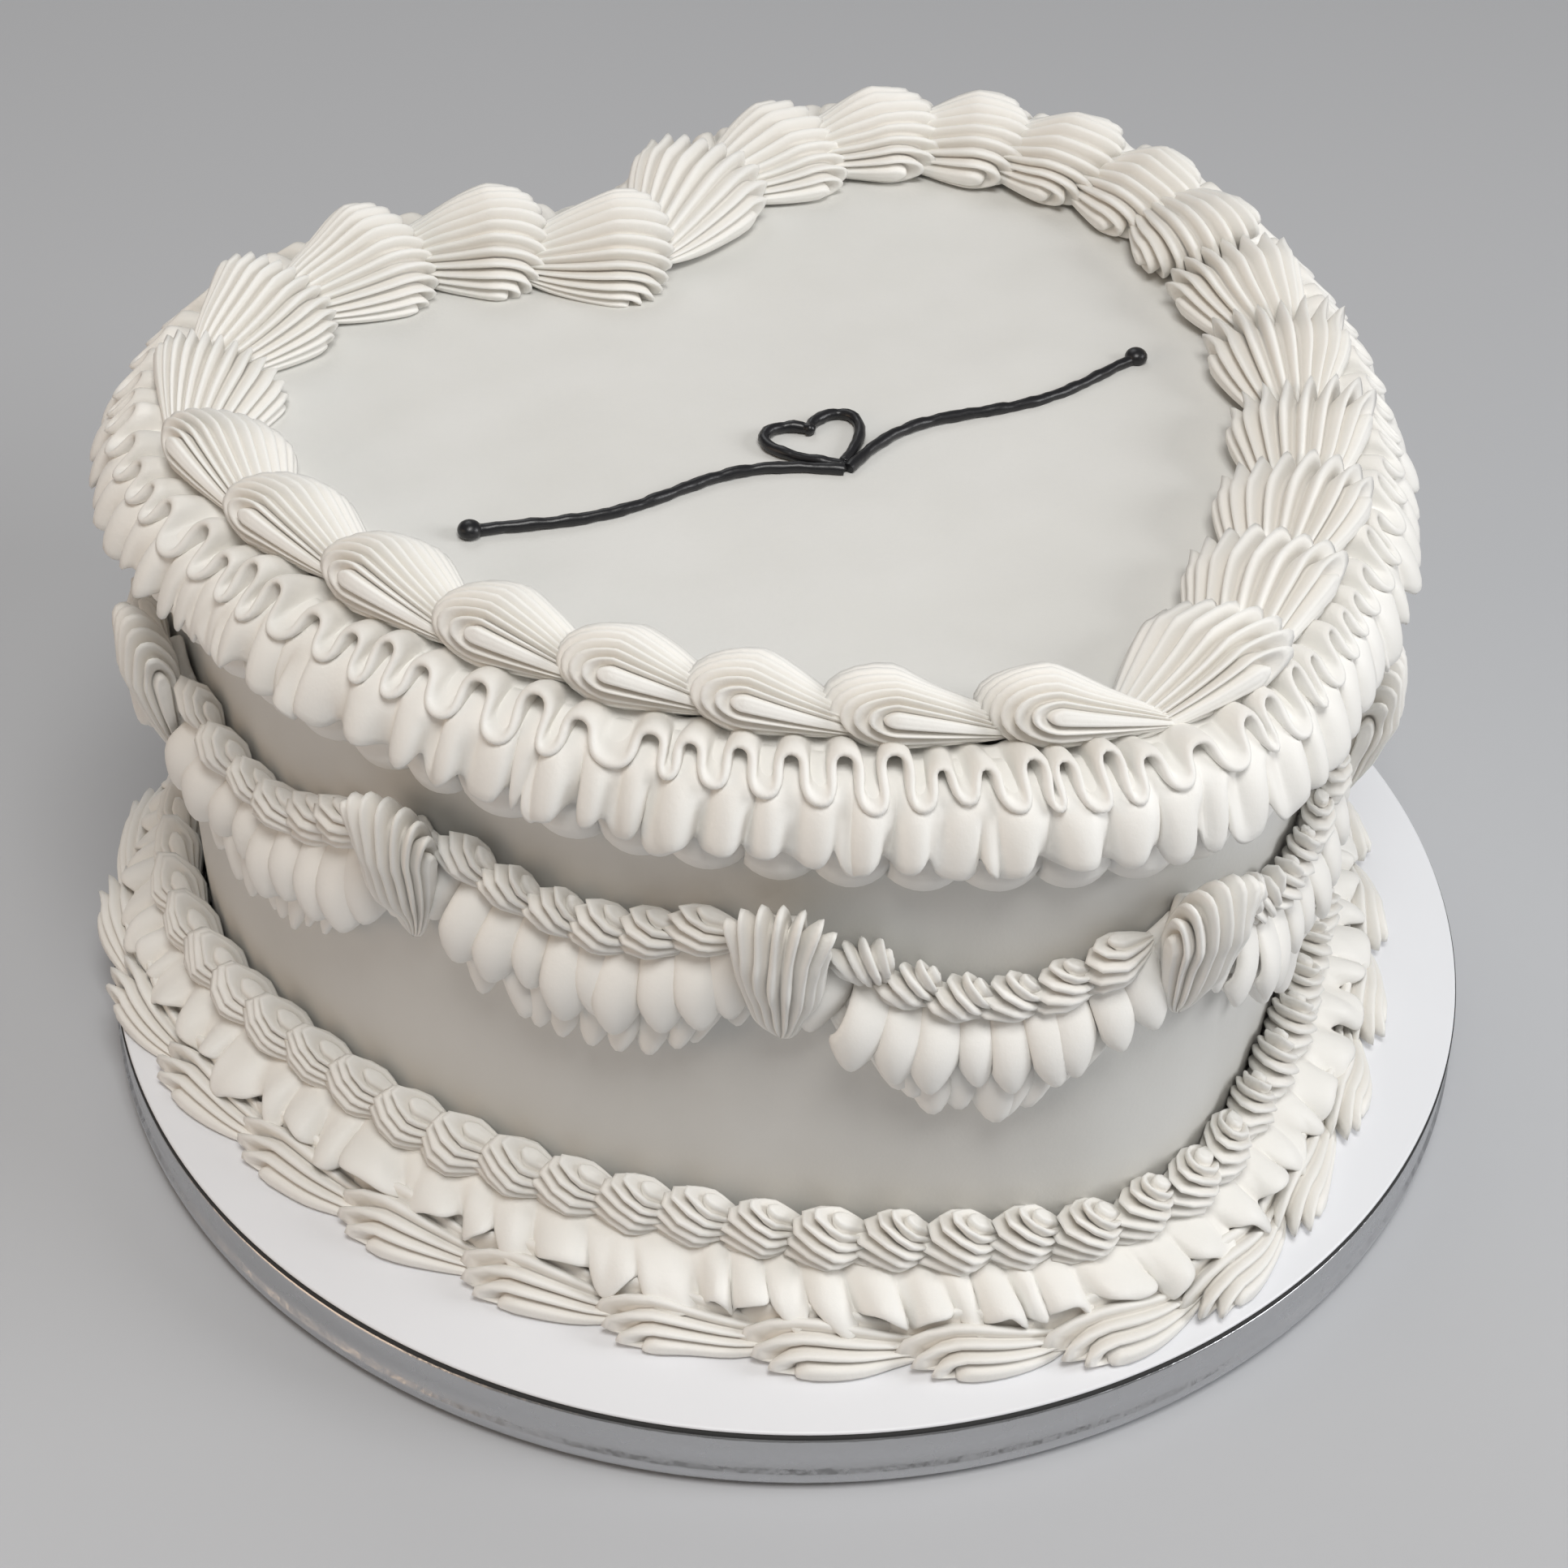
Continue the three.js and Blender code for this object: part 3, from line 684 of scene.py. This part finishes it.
def swag_chain():
    """The swags' small shells, evenly spaced between two drops and none under a drop."""
    pitch, fewest, clear_of_drop, step = 7.2, 7, 4.5, 0.003
    whole = float(half_length(2.0))
    places = []
    for start, end in zip(DROPS, DROPS[1:]):
        for right in (True, False):
            n = max(fewest, round((end - start) * whole / pitch))
            for i in range(n):
                u = start + (end - start) * (i + 0.5) / n
                if min(abs(u - drop) for drop in DROPS) * whole < clear_of_drop:
                    continue
                w = u if right else 2 - u
                rise = (swag_line(np.array(w - step)) - swag_line(np.array(w + step))) / (2 * step * whole)
                places.append((w, float(swag_line(np.array(w))), float(rise)))
    small_shells("chain of the swags", ["swag_chain"], places, rounds=16, ridges=6, depth=1.6,
                 sizes=(4.4, 6.8, 4.6, 7.2), key=2, base=0.0, tips=2.2, head_up=0.6)


swag_chain()


def wall_drops():
    """The drops where two swags meet: from the cleft down the right half to the tip and back up the left."""
    stand_off, stand_off_in_cleft = 2.0, 9.4
    spots = sorted([(u, u) for u in DROPS] + [(2 - u, u) for u in DROPS if 0 < u < 1])
    for number, (w, u) in enumerate(spots, 1):
        x, y, nx, ny = (float(q) for q in spot(w, 0.0))
        out = stand_off
        if u == 0:
            nx, ny, out = 0.0, 1.0, stand_off_in_cleft
        elif u == 1:
            nx, ny = 0.0, -1.0
        bm = bmesh.new()
        across, along = add_grid(bm, 9 * SIDES, 44)
        p, groove = pipe_form(across, along, (9.0, 18.6, 7.5, 9.8), 9, 2.3, 300 + number, droop=0.78,
                              curl=0.35 * (-1) ** number, tips=3.2, sharp=0.8)
        off, sideways = out + p[:, 2], p[:, 1]
        px, py = x + nx * off - ny * sideways, y + ny * off + nx * sideways
        put(bm, np.stack([px, py, DROP_Z - p[:, 0]], -1), groove)
        piece(f"wall drop {number}", bm, PIPED, [f"swag_drop_{number:02d}"])


wall_drops()


# ---- the foot ----
def foot_chain():
    pitch = 10.5
    n = round(2 * float(half_length(4.0)) / pitch)
    places = [(2 * (i + 0.5) / n, CHAIN_TOP - 4.2, 0.12) for i in range(n)]
    small_shells("chain round the foot", ["foot_chain"], places, rounds=19, ridges=8, depth=1.7,
                 sizes=(5.8, 8.8, 5.8, 10.0), key=3, base=-0.2, tips=2.8, head_up=0.55)


foot_chain()


def foot_shells():
    """Long shells on the board, their ridges along the wall and their cut heads to the left."""
    pitch, ridges, off_wall = 23.0, 11, 10.0
    n = round(2 * float(half_length(8.0)) / pitch)
    bm = bmesh.new()
    for _ in range(n):
        u, v = add_grid(bm, ridges * SIDES, 26)
    points, grooves = [], []
    for i in range(n):
        r = np.random.default_rng(500 + i)
        size = r.uniform(0.95, 1.05)
        p, groove = pipe_form(u, v, (11.5 * size, 20.0 * size, 11.2, 10.2), ridges, 2.3, 700 + i, pole=0.12,
                              droop=0.72, tips=3.4, curl=r.uniform(-0.2, 0.2))
        along, out, up = p.T
        points.append(on_heart(2 * (i + 0.5) / n, -along, off_wall + out + 0.06 * along, BOARD_H - 0.1 + up))
        grooves.append(groove)
    put(bm, np.concatenate(points), np.concatenate(grooves))
    piece("shells round the foot", bm, PIPED, ["foot_shells"])


foot_shells()


# ---- the dark line on top: two waves and an open heart ----
def flourish_paths():
    """The line's strokes, each as its points (x, y) and whether it closes: the heart, then two waves."""
    left, right = np.array([-63.9, -3.0]), np.array([58.9, -14.3])
    middle, reach = (left + right) / 2, np.linalg.norm(right - left) / 2
    tilt = math.atan2(*(right - left)[::-1])
    start = 0.4  # where a wave leaves the heart's point

    def laid(x, y):
        x, y = turned(x, y, tilt)
        return middle[0] + x, middle[1] + y

    heart = [laid(8.4 * math.sin(q) ** 3,
                  6.9 * math.cos(q) - 2.7 * math.cos(2 * q) - 1.1 * math.cos(3 * q) + 1.4)
             for q in np.linspace(0, 2 * math.pi, 73)[:-1] + 0.04]
    waves = [[laid(sign * (start + (reach - start) * t),
                   -8.2 * (1 - t) ** 2 + 3.4 * math.sin(t * math.pi * 2.2) * (1 - 0.4 * t))
              for t in np.linspace(0, 1, 60)] for sign in (-1, 1)]
    return [(heart, True), (waves[0], False), (waves[1], False)]


def flourish():
    """A round line along the strokes, uneven as piped by hand, with a dot at each far end."""
    dot_r, dot_squash = 1.95, 0.78
    strokes = flourish_paths()
    curve = bpy.data.curves.new("flourish path", "CURVE")
    curve.dimensions = "3D"
    curve.bevel_depth, curve.bevel_resolution, curve.use_fill_caps = LINE_W / 2 * MM, 4, True
    for path, closed in strokes:
        line = curve.splines.new("POLY")
        line.points.add(len(path) - 1)
        for i, (point, (x, y)) in enumerate(zip(line.points, path)):
            point.co = (x * MM, y * MM, (CAKE_TOP + 0.85 + 0.08 * math.sin(i * 1.3)) * MM, 1)
            point.radius = 1 + 0.07 * math.sin(i * 0.9) + 0.05 * math.sin(i * 2.3)
        line.use_cyclic_u = closed
    holder = put_in_scene("flourish path", curve)
    bpy.context.view_layer.update()
    mesh = bpy.data.meshes.new_from_object(holder.evaluated_get(bpy.context.evaluated_depsgraph_get()))
    bpy.data.objects.remove(holder)
    bm = bmesh.new()
    bm.from_mesh(mesh)
    for path, closed in strokes:
        if closed:
            continue
        x, y = path[-1]
        dot = bmesh.ops.create_uvsphere(bm, u_segments=24, v_segments=14, radius=dot_r * MM)
        bmesh.ops.scale(bm, verts=dot["verts"], vec=(1, 1, dot_squash))
        bmesh.ops.translate(bm, verts=dot["verts"], vec=(x * MM, y * MM, (CAKE_TOP + 1.1) * MM))
    piece("dark flourish on top", bm, BLACK, ["top_flourish"], merge=False)


flourish()


# ---- floor, light and camera, in metres ----
def stage_floor():
    bm = bmesh.new()
    bmesh.ops.create_grid(bm, x_segments=1, y_segments=1, size=4)
    mesh = bpy.data.meshes.new("floor")
    bm.to_mesh(mesh)
    bm.free()
    mesh.materials.append(FLOOR)
    floor = put_in_scene("floor", mesh)


stage_floor()

world = bpy.data.worlds.new("soft room")
bpy.context.scene.world = world
world.use_nodes = True
world.node_tree.nodes["Background"].inputs["Color"].default_value = (1.0, 0.985, 0.965, 1)
world.node_tree.nodes["Background"].inputs["Strength"].default_value = 0.17


def lamp(name, azimuth, elevation, distance, size, power, colour):
    """A square lamp that faces the cake from that azimuth and elevation, in degrees."""
    a, e = math.radians(azimuth), math.radians(elevation)
    back = Vector((math.sin(a) * math.cos(e), -math.cos(a) * math.cos(e), math.sin(e)))
    data = bpy.data.lights.new(name, "AREA")
    data.energy, data.size, data.color = power, size, colour
    o = put_in_scene(name, data)
    o.location = Vector((0, 0, 0.08)) + back * distance
    o.rotation_mode = "QUATERNION"
    o.rotation_quaternion = (-back).to_track_quat("-Z", "Y")


lamp("ceiling", -25, 66, 1.1, 0.42, 6.4, (1.0, 0.99, 0.97))
lamp("window", 46, 26, 1.4, 0.6, 7.8, (0.98, 0.985, 1.0))
lamp("back window", 165, 45, 1.3, 0.6, 2.0, (0.98, 0.99, 1.0))
lamp("warm room", -98, 14, 1.6, 1.0, 4.2, (1.0, 0.74, 0.53))

# The camera that was fitted to the board's rim and the heart's edges.
VIEW_DIRECTION = Vector((0.42425, 0.63456, -0.64602)).normalized()
CAMERA_ROLL = math.radians(-2.12)
camera_data = bpy.data.cameras.new("camera")
camera_data.sensor_width = 36
camera_data.lens = 63.16
camera_data.clip_start, camera_data.clip_end = 0.01, 20
camera = put_in_scene("camera", camera_data)
camera.location = Vector((-217.46, -322.45, 369.42)) * MM
camera.rotation_mode = "QUATERNION"
level = VIEW_DIRECTION.to_track_quat("-Z", "Y").to_matrix().to_4x4()
camera.rotation_quaternion = (Matrix.Rotation(CAMERA_ROLL, 4, VIEW_DIRECTION) @ level).to_quaternion()
bpy.context.scene.camera = camera
bpy.context.scene.view_settings.view_transform = "Standard"
